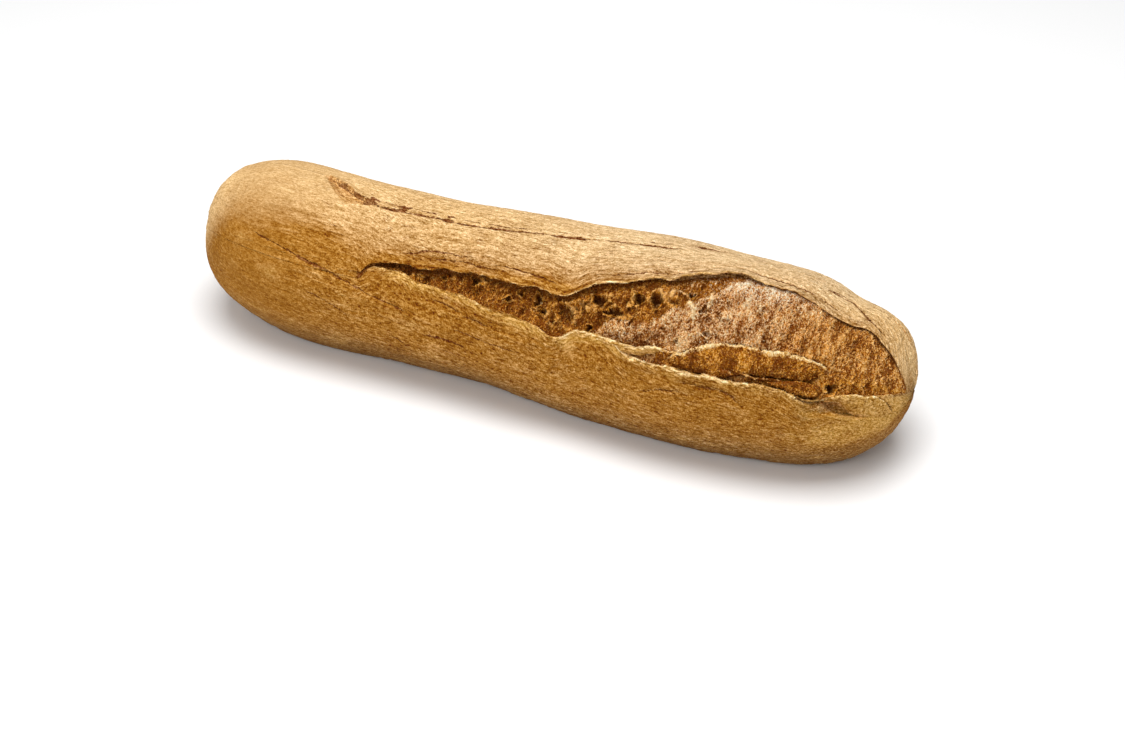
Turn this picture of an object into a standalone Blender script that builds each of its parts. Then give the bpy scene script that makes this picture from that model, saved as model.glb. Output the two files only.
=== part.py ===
"""A long buckwheat loaf, whole and uncut, lying on its flat base.

Metres, +Z up. X runs along the loaf, -Y is the side that the wide tear opens to, and the origin is under the
middle of the loaf on the surface that it stands on.

The loaf is one closed skin. Rings run round it from end to end, and every ring has the same rows, so the rows
follow the thin score along the crest and the two lips of the wide tear below it. Where a score or the tear is
shut, its rows lie flush in the crust.
"""

import bmesh
import bpy
import numpy as np

MM = 0.001
DEG = np.pi / 180

# Driving sizes of the body
LENGTH = 350 * MM
HEIGHT_TO_WIDTH = 0.86
BASE_SINK = 0.93  # centre height over the half height, so that the loaf sinks a little into what it was baked on
BASE_PRESS = 6 * MM  # and its underside is pressed flat by this much more
BASE_BLEND = 2 * MM
PRESS_START = 126  # degrees from the crest, each way, where the pressing starts and where it is whole
PRESS_WHOLE = 166
LEFT_END_BLUNTNESS = 9.7
RIGHT_END_BLUNTNESS = 6.8

# Along the loaf, as a share of its half length, with the half width there
HALF_WIDTHS = ((-1.0, 45), (-0.7, 45.5), (-0.35, 42.5), (0.0, 45.5), (0.35, 48.5), (0.7, 49), (1.0, 46.5))
# and how far the middle of the loaf bows to the back there
SPINE = ((-1.0, 5.7), (-0.5, -2.8), (0.0, -0.3), (0.5, -0.3), (1.0, 3.2))

# Low swells of hand-shaped dough in mm, and the sloping shoulder at the right end of the crest
SHOULDER_DROP = 3.2
SHOULDER_PLACE = 143 * MM
SHOULDER_REACH = 20 * MM
SHOULDER_TURN = -10 * DEG
SHOULDER_SPAN = 60 * DEG
SWELLS = ((0.5, 19 * MM, 2.1, 0.0), (0.4, 31 * MM, -3.0, 1.3))  # height, pitch, twist and start of each
LONG_SWELL = (0.3, 11 * MM, 1.7, 1.2)

# The wide tear's lips, the edge of the torn flap in it and the score: mm along X, then degrees from the crest
# towards the front
UPPER_LIP = (
    (-175, 57), (-72, 56), (-65, 48), (-53, 44.5), (-18, 42), (2, 42.5), (14, 41), (24, 44), (34, 36.5),
    (60, 22.5), (79, 12.5), (98, 3), (125, 6), (145, 12), (155, 9.5), (165, 16), (172, 33), (175, 56),
)  # fmt: skip
LOWER_LIP = (
    (-175, 62), (-72, 60), (-65, 51), (-50, 52.5), (-27, 56.5), (10, 61.5), (25, 68), (37, 60.5), (50, 60),
    (62, 66.5), (128, 66.5), (141, 73), (148, 68), (154, 65), (164, 64), (175, 62),
)  # fmt: skip
FLAP_EDGE = ((-175, 50), (50, 56), (62, 59), (85, 57), (98, 48.5), (116, 46), (142, 46), (149, 50), (175, 52))
SCORE = ((-175, -12), (-112, -10), (-95, -2), (-82, 4), (-50, 3.5), (-20, 6), (30, -0.5), (67, -10), (175, -24))

# How far each feature has opened, from 0 to 1: mm along X, then the share
TEAR_OPEN = ((-175, 0), (-76, 0), (-66, 0.5), (-52, 1), (150, 1), (166, 0.7), (174.5, 0))
FLAP_OPEN = ((-175, 0), (54, 0), (66, 0.7), (85, 1), (136, 1), (147, 0), (175, 0))
SCORE_OPEN = ((-175, 0), (-116, 0), (-106, 1), (-84, 1), (-76, 0.3), (60, 0.25), (90, 0), (175, 0))

# Depths of the torn crumb under the crust's own surface, in mm: under the upper lip, midway, at the lower lip
TEAR_DEPTHS = (
    (-175, 3, 2, 1), (-60, 5, 3.5, 1.5), (-30, 9, 6, 3), (10, 11, 7.5, 4), (35, 10, 6, 3.5), (60, 6, 2.5, 3),
    (90, 4.5, 1.5, 5), (140, 4, 1.5, 5), (155, 3.5, 1.5, 2.5), (175, 3, 1.5, 2),
)  # fmt: skip

# Dents in the crust: middle along X in mm and round it in degrees, reach each way, and depth in mm
DENTS = (
    (28, 78, 5, 16, 1.6),  # the fold under the lower lip
    (149, 78, 9, 4, 2.0),  # the pocket under the right end's small ear
    (100, 78, 14, 5, 0.7),
    (-60, -60, 60, 22, 1.0),
)

# Cross-sections of the lips and the score where they are fully open.
# Ear of the upper lip: share of the way across the tear, reach towards the front in mm, lift in mm, share of the
# crumb's depth
EAR_SECTION = ((-0.12, 0, 0.6, 0), (0, 2, 1.6, 0), (0.03, 1.6, -0.2, 0), (0.06, -3, 0, 0.6), (0.1, -0.9, 0, 1))
# Lower lip: share of the way across the tear, lift in mm
LOWER_LIP_SECTION = ((0.97, 0.2), (1, 1), (1.1, 0.4))
# Score: degrees from its middle, height in mm
SCORE_SECTION = ((-4, 0.3), (-2.4, -3), (0.8, -2.7), (4, 0))

WIDE_TEAR = 16 * MM  # a tear this wide has its full ear
CRUMB_START = 0.17  # shares of the way across the tear, where the open crumb starts and ends
CRUMB_END = 0.93
FLAP_EDGE_LIMITS = (0.5, 0.82)  # the flap's edge is never less nor more than this across
FLAP_END = 0.9
FLAP_WALL = 0.015  # half the width of the flap's steep edge, as a share too
FLAP_LIFT = 3.2 * MM
FLAP_DROOP = 0.3  # share of its lift that the flap loses on the way to the lower lip

# Rings along the loaf, and rows round each ring
RINGS = 118
BACK_ROWS = 13
CREST_ROWS = 5
CRUMB_ROWS = 5
FLAP_ROWS = 3
FRONT_ROWS = 9

CRUST_COLOUR = (0.50, 0.29, 0.095, 1)
CRUMB_COLOUR = (0.36, 0.18, 0.08, 1)


def smooth_through(points, column=1):
    """A smooth curve through (place, value, ...) rows, as a function of the place. It never overshoots a row."""
    xs = np.array([row[0] for row in points], float)
    ys = np.array([row[column] for row in points], float)
    slopes = np.diff(ys) / np.diff(xs)
    tangents = np.zeros(len(xs))
    same_way = slopes[:-1] * slopes[1:] > 0
    tangents[1:-1][same_way] = (
        2 * slopes[:-1][same_way] * slopes[1:][same_way] / (slopes[:-1] + slopes[1:])[same_way]
    )

    def curve(x):
        x = np.clip(np.asarray(x, float), xs[0], xs[-1])
        i = np.clip(np.searchsorted(xs, x, side="right") - 1, 0, len(xs) - 2)
        step = xs[i + 1] - xs[i]
        t = (x - xs[i]) / step
        rise = ys[i + 1] - ys[i]
        return (
            ys[i]
            + rise * t * t * (3 - 2 * t)
            + step * t * (1 - t) * (tangents[i] * (1 - t) - tangents[i + 1] * t)
        )

    return curve


half_width = smooth_through(HALF_WIDTHS)
spine = smooth_through(SPINE)
upper_lip = smooth_through(UPPER_LIP)
lower_lip = smooth_through(LOWER_LIP)
score_line = smooth_through(SCORE)
flap_edge = smooth_through(FLAP_EDGE)
tear_open = smooth_through(TEAR_OPEN)
score_open = smooth_through(SCORE_OPEN)
flap_open = smooth_through(FLAP_OPEN)
depth_under_ear = smooth_through(TEAR_DEPTHS, 1)
depth_midway = smooth_through(TEAR_DEPTHS, 2)
depth_at_lower_lip = smooth_through(TEAR_DEPTHS, 3)


def bump(x, middle, reach):
    """A round hump of height 1 at the middle, gone past about twice the reach."""
    return np.exp(-(((x - middle) / reach) ** 2))


def unevenness(x, angle):
    """Low swells of hand-shaped dough, in metres."""
    height, pitch, wave, start = LONG_SWELL
    swell = height * np.sin(x / pitch + start + wave * np.cos(angle))
    for height, pitch, twist, start in SWELLS:
        swell = swell + height * np.sin(x / pitch + twist * angle + start)
    shoulder = bump(x, SHOULDER_PLACE, SHOULDER_REACH) * bump(angle, SHOULDER_TURN, SHOULDER_SPAN)
    return (swell - SHOULDER_DROP * shoulder) * MM


def dents(x, angle):
    """How far the dents sink the crust there, in metres."""
    return sum(
        depth * MM * bump(x, middle * MM, reach * MM) * bump(angle, turn * DEG, turn_reach * DEG)
        for middle, turn, reach, turn_reach, depth in DENTS
    )


def pressed(angle):
    """How far the underside is pressed there, from 0 to 1."""
    turn = np.clip((np.abs(angle) / DEG - PRESS_START) / (PRESS_WHOLE - PRESS_START), 0, 1)
    return turn * turn * (3 - 2 * turn)


def body(tau, angle):
    """Points of the plain loaf. tau runs from 0 at the left tip to pi at the right, angle from the crest to the front."""
    share = -np.cos(tau)
    x = share * LENGTH / 2
    bluntness = np.where(share < 0, LEFT_END_BLUNTNESS, RIGHT_END_BLUNTNESS)
    taper = np.sqrt(np.clip(1 - np.abs(share) ** bluntness, 0, 1))
    swell = unevenness(x, angle) - dents(x, angle)
    radius = (half_width(share) * MM + swell) * taper
    centre = BASE_SINK * HEIGHT_TO_WIDTH * half_width(0.0) * MM
    y = spine(share) * MM - radius * np.sin(angle)
    z = centre + HEIGHT_TO_WIDTH * radius * np.cos(angle) - BASE_PRESS * taper * pressed(angle)
    near = np.clip(BASE_BLEND - np.abs(z), 0, None)
    z = np.maximum(z, 0) + near**2 / (4 * BASE_BLEND)
    return np.stack(np.broadcast_arrays(x, y, z), -1)


def unit(v):
    return v / np.maximum(np.linalg.norm(v, axis=-1, keepdims=True), 1e-12)


def directions(tau, angle):
    """Unit vectors out of the surface and round it, towards the front."""
    step = 1e-4
    along = body(tau + step, angle) - body(tau - step, angle)
    round_it = unit(body(tau, angle + step) - body(tau, angle - step))
    return unit(np.cross(round_it, along)), round_it


def crumb_depth(x_mm, share):
    """How deep the torn crumb lies at a share of the way from the upper lip to the lower, in metres."""
    return MM * (
        depth_under_ear(x_mm) * (1 - share) * (1 - 2 * share)
        + depth_midway(x_mm) * 4 * share * (1 - share)
        + depth_at_lower_lip(x_mm) * share * (2 * share - 1)
    )


def tear_rows(tau, x_mm):
    """The wide tear's rows from the upper lip to the lower: (angle, shift round the loaf, height) for each."""
    top, low = upper_lip(x_mm) * DEG, lower_lip(x_mm) * DEG
    opened = tear_open(x_mm)
    width = np.linalg.norm(body(tau, low) - body(tau, top), axis=-1)
    ear = opened * np.minimum(1, width / WIDE_TEAR)
    edge = np.clip((flap_edge(x_mm) * DEG - top) / (low - top), *FLAP_EDGE_LIMITS)
    flap = FLAP_LIFT * flap_open(x_mm)

    def crumb_row(share, lift=0.0):
        return top + share * (low - top), 0 * ear, lift - opened * crumb_depth(x_mm, share)

    rows = []
    for share, reach, lift, depth in EAR_SECTION:
        height = ear * lift * MM - opened * depth * crumb_depth(x_mm, 0)
        rows.append((top + share * (low - top), ear * reach * MM, height))
    for n in range(CRUMB_ROWS):
        rows.append(crumb_row(CRUMB_START + (edge - FLAP_WALL - CRUMB_START) * n / (CRUMB_ROWS - 1)))
    for n in range(FLAP_ROWS):
        share = edge + FLAP_WALL + (FLAP_END - edge - FLAP_WALL) * n / FLAP_ROWS
        rows.append(crumb_row(share, flap * (1 - FLAP_DROOP * n / (FLAP_ROWS - 1))))
    rows.append(crumb_row(CRUMB_END))
    for share, lift in LOWER_LIP_SECTION:
        rows.append((top + share * (low - top), 0 * ear, opened * lift * MM))
    return rows


def score_rows(x_mm):
    """The crest score's rows: a sharp back edge, its floor, and a gentler front edge."""
    middle, opened = score_line(x_mm), score_open(x_mm)
    return [((middle + across) * DEG, 0 * opened, opened * height * MM) for across, height in SCORE_SECTION]


def ring_rows(tau):
    """Every row of the rings at tau: (angle, shift round the loaf, height), from under the loaf over its crest."""
    x_mm = -np.cos(tau) * LENGTH / 2 / MM
    score, tear = score_rows(x_mm), tear_rows(tau, x_mm)
    flush = 0 * tau

    def between(first, last, count):
        return [(first + (last - first) * (n + 1) / (count + 1), flush, flush) for n in range(count)]

    rows = between(flush - np.pi, score[0][0], BACK_ROWS) + score
    rows += between(score[-1][0], tear[0][0], CREST_ROWS) + tear
    rows += between(tear[-1][0], flush + np.pi, FRONT_ROWS) + [(flush + np.pi, flush, flush)]
    return rows


def skin_points(tau):
    """Points of the loaf's skin, as rings by rows by 3."""
    rows = []
    for angle, shift, height in ring_rows(tau):
        out, round_it = directions(tau, angle)
        rows.append(body(tau, angle) + out * height[:, None] + round_it * shift[:, None])
    return np.stack(rows, 1)


def make_material(name, colour, roughness):
    material = bpy.data.materials.new(name)
    material.use_nodes = True
    surface = material.node_tree.nodes["Principled BSDF"]
    surface.inputs["Base Color"].default_value = colour
    surface.inputs["Roughness"].default_value = roughness
    return material


def make_loaf():
    """The loaf as one closed skin: a grid of rings and rows, with a tip point at each end."""
    tau = np.pi * (np.arange(RINGS) + 0.5) / RINGS
    points = skin_points(tau)
    points[..., 2] = np.maximum(points[..., 2], 0)
    rows = points.shape[1]
    skin = bmesh.new()
    grid = [[skin.verts.new(point) for point in ring] for ring in points]
    tips = [skin.verts.new(body(np.array(end), np.array(0.0))) for end in (0.0, np.pi)]
    ear_rows = BACK_ROWS + len(SCORE_SECTION) + CREST_ROWS
    first_torn = ear_rows + 2
    last_torn = ear_rows + len(EAR_SECTION) + CRUMB_ROWS + FLAP_ROWS + 1
    for this, following in zip(grid, grid[1:]):
        for n in range(rows):
            m = (n + 1) % rows
            face = skin.faces.new((this[n], this[m], following[m], following[n]))
            face.material_index = int(first_torn <= n < last_torn)
    for n in range(rows):
        m = (n + 1) % rows
        skin.faces.new((tips[0], grid[0][m], grid[0][n]))
        skin.faces.new((tips[1], grid[-1][n], grid[-1][m]))
    bmesh.ops.recalc_face_normals(skin, faces=skin.faces)
    mesh = bpy.data.meshes.new("loaf")
    skin.to_mesh(mesh)
    skin.free()
    mesh.shade_smooth()
    mesh.set_sharp_from_angle(angle=50 * DEG)
    mesh.materials.append(make_material("crust", CRUST_COLOUR, 0.85))
    mesh.materials.append(make_material("torn crumb", CRUMB_COLOUR, 0.95))
    loaf = bpy.data.objects.new("loaf", mesh)
    bpy.context.scene.collection.objects.link(loaf)
    return loaf


def main():
    for old in list(bpy.data.objects):
        bpy.data.objects.remove(old)
    make_loaf()


if __name__ == "__main__":
    main()
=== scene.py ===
"""The looks of a long buckwheat loaf: floury wrinkled crust, a score along its crest, and a wide tear.

Metres, +Z up, X along the loaf, -Y the side that the tear opens to. The body's plan is the one that the CAD
solid was drawn from: rings run round the loaf from end to end, and their rows follow the score and the lips
of the tear. Places on the loaf are given as (mm along X, degrees from the crest towards the front).
"""

import bmesh
import bpy
import numpy as np
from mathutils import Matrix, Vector


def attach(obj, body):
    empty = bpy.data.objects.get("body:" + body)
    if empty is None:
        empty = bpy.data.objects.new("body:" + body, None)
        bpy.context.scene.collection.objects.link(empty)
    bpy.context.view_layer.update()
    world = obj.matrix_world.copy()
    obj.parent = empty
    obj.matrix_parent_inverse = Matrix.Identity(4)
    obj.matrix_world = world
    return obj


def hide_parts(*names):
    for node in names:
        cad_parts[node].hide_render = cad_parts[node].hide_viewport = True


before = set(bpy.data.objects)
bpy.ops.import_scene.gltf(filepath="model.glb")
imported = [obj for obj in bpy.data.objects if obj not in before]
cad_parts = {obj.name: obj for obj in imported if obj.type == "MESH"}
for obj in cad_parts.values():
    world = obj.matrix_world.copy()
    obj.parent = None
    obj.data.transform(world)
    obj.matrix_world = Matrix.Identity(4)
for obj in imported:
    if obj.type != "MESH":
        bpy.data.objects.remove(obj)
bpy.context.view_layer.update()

MM = 0.001
DEG = np.pi / 180
ARC = 0.78  # mm round the loaf for one degree, about the same everywhere but at the tips
LOAF_NODE = "loaf"

# ---------------- the body's plan
LENGTH = 350 * MM
HEIGHT_TO_WIDTH = 0.86
BASE_SINK = 0.93
BASE_PRESS = 6 * MM
BASE_BLEND = 2 * MM
PRESS_START = 126
PRESS_WHOLE = 166
LEFT_END_BLUNTNESS = 9.7
RIGHT_END_BLUNTNESS = 6.8
# Half widths and sideways bends of the body in mm, at shares of the half length
HALF_WIDTHS = ((-1, 45), (-0.7, 45.5), (-0.35, 42.5), (0, 45.5), (0.35, 48.5), (0.7, 49), (1, 46.5))
SPINE = ((-1, 5.7), (-0.5, -2.8), (0, -0.3), (0.5, -0.3), (1, 3.2))
# The right shoulder's drop in mm, and its place and reach along and round the body
SHOULDER_DROP = 3.2
SHOULDER = (143 * MM, -10 * DEG, 20 * MM, 60 * DEG)
# Slow swells: height in mm, pitch, twist round the body, start
SWELLS = ((0.5, 19 * MM, 2.1, 0.0), (0.4, 31 * MM, -3.0, 1.3))
LONG_SWELL = (0.3, 11 * MM, 1.7, 1.2)
# Dents: mm, degrees, reach in each, depth in mm
DENTS = ((28, 78, 5, 16, 1.6), (149, 78, 9, 4, 2.0), (100, 78, 14, 5, 0.7), (-60, -60, 60, 22, 1.0))

# ---------------- the tear and the score
UPPER_LIP = (
    (-175, 57), (-72, 56.5), (-69, 51), (-65, 48), (-53, 44.5), (-44, 45), (-30, 42.6), (-18, 41.8),
    (2, 42.8), (14, 41.2), (22, 43.6), (27, 43.3), (34, 36.5), (41, 32), (52, 27), (60, 22.5), (70, 18.3),
    (79, 12.5), (88, 6.5), (98, 3), (107, 5.3), (120, 5), (131, 7.5), (142, 12), (148, 12.6), (154.5, 8.7),
    (160, 12.2), (165, 16), (168.5, 23), (172, 33), (175, 56),
)
LOWER_LIP = (
    (-175, 62), (-72, 60), (-68, 52), (-65, 50), (-58, 50), (-50, 52), (-43, 55), (-26, 56.3), (-14, 58.5),
    (-4, 61.3), (9, 61.7), (18, 64.5), (25.7, 68), (31.5, 65), (37, 60.5), (46, 59.7), (52, 61), (62, 66.5),
    (76, 67.3), (83, 67.8), (103, 66.4), (121, 66.4), (129, 66), (135, 69.5), (141, 73), (148, 68),
    (154, 65), (164, 64), (168, 62.7), (175, 60),
)
TEAR_OPEN = ((-175, 0), (-76, 0), (-66, 0.5), (-52, 1), (150, 1), (166, 0.7), (174.5, 0))
SCORE = (
    (-175, -13), (-113, -10), (-107, -5.4), (-101, -0.4), (-96, 3.3), (-91, 5.6), (-86, 5.5), (-79, 5.4),
    (-70, 5.8), (-66, 4.6), (-57, 4.3), (-48, 3.4), (-43, 4.6), (-20, 6.3), (8, 2.6), (31, -0.6),
    (53, -5.5), (67, -9.7), (98, -17.5), (175, -24),
)
GASH_HALF_WIDTHS = (
    (-175, 0), (-116, 0), (-112, 1.8), (-107, 4.5), (-101, 6.0), (-96, 6.3), (-91, 5.1), (-86, 3.6),
    (-82, 1.8), (-79, 0.25), (60, 0.2), (75, 0), (175, 0),
)
LIP_ROLL = (
    (-175, 0.4), (-60, 0.6), (20, 0.7), (27, 0.4), (33, 1.2), (46, 1.2), (56, 0.7), (66, 0.9), (78, 1.3),
    (92, 1.3), (104, 0.9), (129, 0.9), (134, 1.7), (139, 0.9), (152, 0.9), (175, 0.4),
)

# How much paler the crust is under the lower lip, and how much browner above the upper one
LIP_LIGHT = (
    (-175, 0.3), (-60, 0.8), (15, 0.8), (26, 0.4), (33, 0.9), (56, 0.8), (64, 0.25), (80, 0.6),
    (106, 0.6), (118, 0.3), (175, 0.4),
)
LIP_DARK = (
    (-175, 0), (-90, 0), (-66, 0.8), (-40, 0.7), (-20, 0.5), (8, 0.8), (30, 0.9), (60, 0.6), (84, 0.45),
    (165, 0.6), (175, 0.3),
)
# How pale the torn edges of the crust are: partly paler dough, partly a painted highlight along them
EDGE_PALE = ((-175, 0.2), (-60, 0.45), (24, 0.4), (32, 1), (62, 1), (106, 1), (118, 0.6), (175, 0.6))
# A pocket torn in the crust below the lower lip: mm, degrees, its reach in each; and its depth in mm
POCKET = (148.5, 75.5, 7, 3.4)
POCKET_DEPTH = 2.0
# Low humps and hollows of the crust: mm, degrees, the reach in each, and the rise in mm
HUMPS = ((-166, 8, 9, 45, 2.2), (142, -42, 9, 30, -1.3), (166, -34, 9, 36, 1.5))
# Browner patches of the crust: mm, degrees, the reach in each, and how brown
BROWN_PATCHES = ((-99, 37, 28, 16, 0.6), (-44, 18, 16, 9, 0.35))
# The flour lies thickest this far from the crest, towards the back, and the wrinkles slant by this share
FLOUR_SIDE = 18 * DEG
FLOW_SLANT = 0.08

# The torn hollow on the left, and the bulge of crumb pushed through on the right: depths in mm, for the
# bulge under the upper lip, halfway and at the lower lip
HOLLOW_DEPTHS = (
    (-175, 2), (-60, 3.2), (-30, 4.0), (10, 4.6), (35, 4.4), (60, 4.0), (80, 3.4), (98, 2.2), (175, 2),
)
BULGE_DEPTHS = (
    (-175, 3, 2, 2), (36, 3, 1.6, 2), (60, 2.5, 1.4, 2), (90, 0.7, 0.5, 3.5), (140, 0.8, 0.7, 4),
    (155, 1.0, 0.9, 2), (175, 2, 1.2, 1.5),
)
BULGE_EDGE = (
    (30, 75), (37, 62), (41, 58), (45, 54), (48, 51.5), (55, 48.5), (67, 44), (73.5, 39.5), (79, 32),
    (84, 29), (87, 22), (91, 17), (98, 3), (104, -20),
)

# Large pores in the crumb: mm, degrees, half length, half height and depth in mm
PORES = (
    (14, 48, 1.7, 2.8, 5), (-17, 44.8, 2.8, 2.2, 4), (29, 52, 4.3, 5.4, 2.2), (41.5, 39.5, 3.2, 2.8, 3.6),
    (50.5, 44, 4.6, 1.9, 3.2), (59, 32.8, 2.2, 2.4, 4.2), (66.3, 30.3, 2.9, 2.9, 5.5),
    (73.5, 29, 2.8, 1.9, 2.2), (40.5, 57.3, 1.3, 1.7, 3.5), (17.6, 54.5, 2.0, 1.6, 2.6),
    (0, 51.4, 1.7, 1.4, 2.0), (-45, 50.2, 1.5, 1.0, 1.6), (-33, 47, 1.2, 1.0, 1.4), (5, 46, 1.3, 1.3, 2.0),
    (23, 60, 1.3, 1.3, 1.6), (35, 44, 1.4, 1.8, 2.2), (80, 22, 1.8, 1.2, 2.0), (88, 31, 1.3, 1.7, 2.0),
    (99, 34, 1.2, 1.4, 1.5), (93, 44, 1.4, 1.3, 1.8), (112, 24, 1.1, 1.5, 1.5), (124, 35, 1.2, 1.3, 1.4),
    (148.5, 62, 2.1, 2.8, 3), (81, 52, 1.3, 1.2, 1.5),
)

# Thin walls of crumb left standing between the pores
MEMBRANES = (
    ((63.5, 32), (63.5, 27), (65.5, 24.5), (69.5, 28)),
    ((70.5, 30), (72.5, 24), (75, 22), (79, 24)),
    ((28, 45.5), (32.5, 49.5), (34, 57)),
    ((81, 29), (84, 32), (85, 37)),
    ((38, 37), (38.5, 42), (37.5, 46)),
    ((56, 30), (56.5, 36), (55, 40)),
    ((46, 34), (46.5, 39)),
    ((88, 20), (90, 24), (89, 28)),
)

# Cracks in the crust: width in mm, then their places from end to end
CRACKS = (
    (0.8, ((-129, 50.7), (-114, 53.4), (-100, 57.3), (-89, 60), (-77, 64.6), (-66, 70), (-48, 75.4))),
    (0.55, ((-33, 63.5), (-27, 65), (-20, 67.3))),
    (1.3, ((-16.5, 70), (-12, 70.4), (-7, 71.5))),
    (0.6, ((-52.5, 98), (-46.5, 104.5))),
    (0.75, ((-34.5, 89.7), (-26, 89.4), (-18, 90.5))),
    (0.5, ((-27.6, 98.7), (-17.6, 101.7))),
    (0.5, ((132, -11.6), (144, -11.6), (152, -2.6), (160, 4))),
    (0.4, ((88, 73.8), (95, 74.4), (104, 74), (110, 76.5), (113, 79.6))),
    (0.4, ((69, 86.5), (78, 82), (85.5, 80.6))),
    (0.6, ((-112, -9.6), (-107.5, -9.7), (-99, -4.8), (-92.3, 0.4), (-86, 2.0))),
    (4.5, ((-86, 3.4), (-80, 4.6))),
    (1.2, ((-79, 5.6), (-73, 5.8), (-68, 5.8))),
    (2.2, ((-70.5, 6.2), (-66, 4.4), (-61, 4.8))),
    (1.4, ((-63, 4.6), (-56, 4.2), (-48, 3.5))),
    (2.4, ((-47, 4), (-41, 4.9))),
    (0.8, ((-39, 5.2), (-33, 5.6), (-26, 6))),
    (0.75, ((-26, 6), (-14, 5.4), (-4, 4.2), (4, 3.2))),
    (0.8, ((7, 2.6), (20, 1), (29, -0.2))),
    (0.75, ((32, -0.9), (44, -3.2), (53, -5.5), (64, -9))),
    (1.2, ((69, -19.7), (76, -22.5), (83, -25.1))),
    (0.9, ((172, 52), (172, 42), (170, 31))),
    (0.9, ((-92.6, 30), (-90.4, 30.6))),
    (0.5, ((-55, 37.4), (-43.5, 31.6), (-33, 31), (-25, 31.6))),
    (0.4, ((-40, 37), (-26, 35), (-10, 36.5))),
    (0.4, ((44, 24), (58, 17), (70, 12.5), (82, 6))),
    (0.4, ((98, -4), (112, -2.5), (126, -1), (139, 4))),
    (0.4, ((-20, 80), (-4, 83), (8, 84))),
    (0.4, ((-96, 78), (-84, 83), (-76, 88))),
    (0.45, ((-8, 33), (8, 33.5), (20, 36))),
)

# Folds of the crust: height of a step in mm, raised on the side away from the crest, depth of a groove in
# mm, reach of both in mm, then their places from end to end
FOLDS = (
    (3.0, 1.8, 3.6, ((134, 69), (139, 72.5), (144, 73.5), (149, 78.5), (156, 82.3), (164, 87.5))),
    (-1.8, 0.6, 2.4, ((163, 64.5), (167.5, 71), (170.5, 80), (171, 92))),
    (0.3, 0.9, 2.4, ((25.7, 68), (28.5, 75), (28.4, 83), (26, 98))),
    (0.9, 0.7, 2.0, ((86, 73), (95, 74.4), (104, 74), (110, 76.5), (113, 79.6), (116, 84))),
    (0.5, 0.5, 1.8, ((66, 87), (78, 82), (88, 80.5), (98, 82))),
    (0.4, 0.25, 2.5, ((-129, 50.7), (-100, 57.3), (-77, 64.6), (-48, 75.4))),
    (0.0, 0.45, 2.0, ((-30, 36), (-8, 37), (10, 36), (22, 39))),
    (0.2, 0.35, 2.0, ((40, 26), (55, 19), (72, 11), (86, 3))),
    (0.0, 0.4, 1.8, ((-60, 38), (-45, 34), (-30, 32.5), (-18, 33))),
    (0.3, 0.3, 2.2, ((104, -1), (122, 0), (138, 6), (150, 4))),
    (0.3, 0.0, 3.0, ((-34.5, 88), (-18, 89), (0, 92), (16, 93))),
    (-0.5, 0.0, 2.0, ((-17, 69), (-7, 70.5))),
)

# Sheets and lumps torn loose in the tear. Rim and foot are their upper and lower edges; heights off the
# plain loaf in mm are for the whole, for the rim, for the middle and, downwards, for the foot.
SHEETS = {
    "crust_tongue": dict(
        rim=((43, 60.2), (47, 60), (54, 60.4), (60, 60.3), (66.5, 59.7), (71, 58.3), (75, 57.6),
             (77.3, 58.6)),
        foot=((43, 61.4), (47, 63.4), (54, 65.4), (60, 66.2), (66.5, 65.2), (71, 63), (75, 60.6),
              (77.3, 59.2)),
        heights=(-0.1, 0.9, 0.5, 0.7), pale=1.0, thickness=1.6,
    ),
    "crust_lobe": dict(
        rim=((150, 66), (154, 65), (158, 64.2), (163.5, 63.8), (166, 67), (168, 72.5), (170, 84), (172, 98)),
        foot=((150, 67), (154, 76), (158, 83), (161.5, 87.4), (166, 97), (169, 102), (172, 104)),
        heights=(-0.2, 1.7, 0.7, 1.3), pale=0.9, thickness=1.8,
    ),
    "torn_flap": dict(
        rim=((79, 62), (82, 59.5), (86, 57), (91, 53), (96, 49.5), (102, 47.7), (111, 46.7), (120, 46.3),
             (128, 45.6), (136, 46.2), (141, 47), (144.5, 48.4), (146.2, 51)),
        foot=((79, 63), (83, 67), (88, 68), (96, 67.6), (104, 66.4), (111, 63.6), (117, 62), (127, 60.6),
              (136, 59.4), (141, 57.2), (144.5, 54.4), (146.2, 51.6)),
        heights=(-0.5, 1.5, 1.2, 1.4), pale=1.0, thickness=1.6,
    ),
    "torn_wedge": dict(
        rim=((71, 58.6), (76, 58), (79.5, 58.9), (84, 57.8), (88, 55.8)),
        foot=((71, 62), (75, 66.5), (79.5, 68), (84, 67), (88, 61)),
        heights=(-1.1, 0.9, 0.0, 1.0), pale=0.9, thickness=1.2,
    ),
    "torn_ledge": dict(
        rim=((110, 61.4), (114, 61.4), (118, 62), (122, 61.2), (128, 61), (130, 61.6)),
        foot=((110, 62.2), (114, 63.4), (118, 64), (122, 63.4), (128, 63), (130, 62.4)),
        heights=(-0.7, 0.2, 0.5, 0.8), pale=0.4, thickness=1.3,
    ),
    "torn_lump": dict(
        rim=((121, 63), (126, 61.8), (132, 60.6), (138, 60), (143, 60.6), (146.5, 63.4)),
        foot=((121, 64.4), (126, 66.4), (132, 68), (138, 70), (143, 70), (146.5, 66)),
        heights=(-2.2, 0.3, 2.4, 1.2), pale=0.2, thickness=2.0,
    ),
    "crumb_nugget": dict(
        rim=((101.5, 62.6), (103.5, 61), (106.5, 61.2), (109, 63)),
        foot=((101.5, 63.2), (103.5, 64.4), (106.5, 65), (109, 63.8)),
        heights=(0.2, 0.0, 1.8, 0.4), pale=0.6, thickness=1.5,
    ),
}
CRUST_SHEETS = ("crust_tongue", "crust_lobe")

RAGGED_SEED = 11
RAGGED_REACH = 180  # mm each way from the middle of the loaf
rng = np.random.default_rng(RAGGED_SEED)


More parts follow.
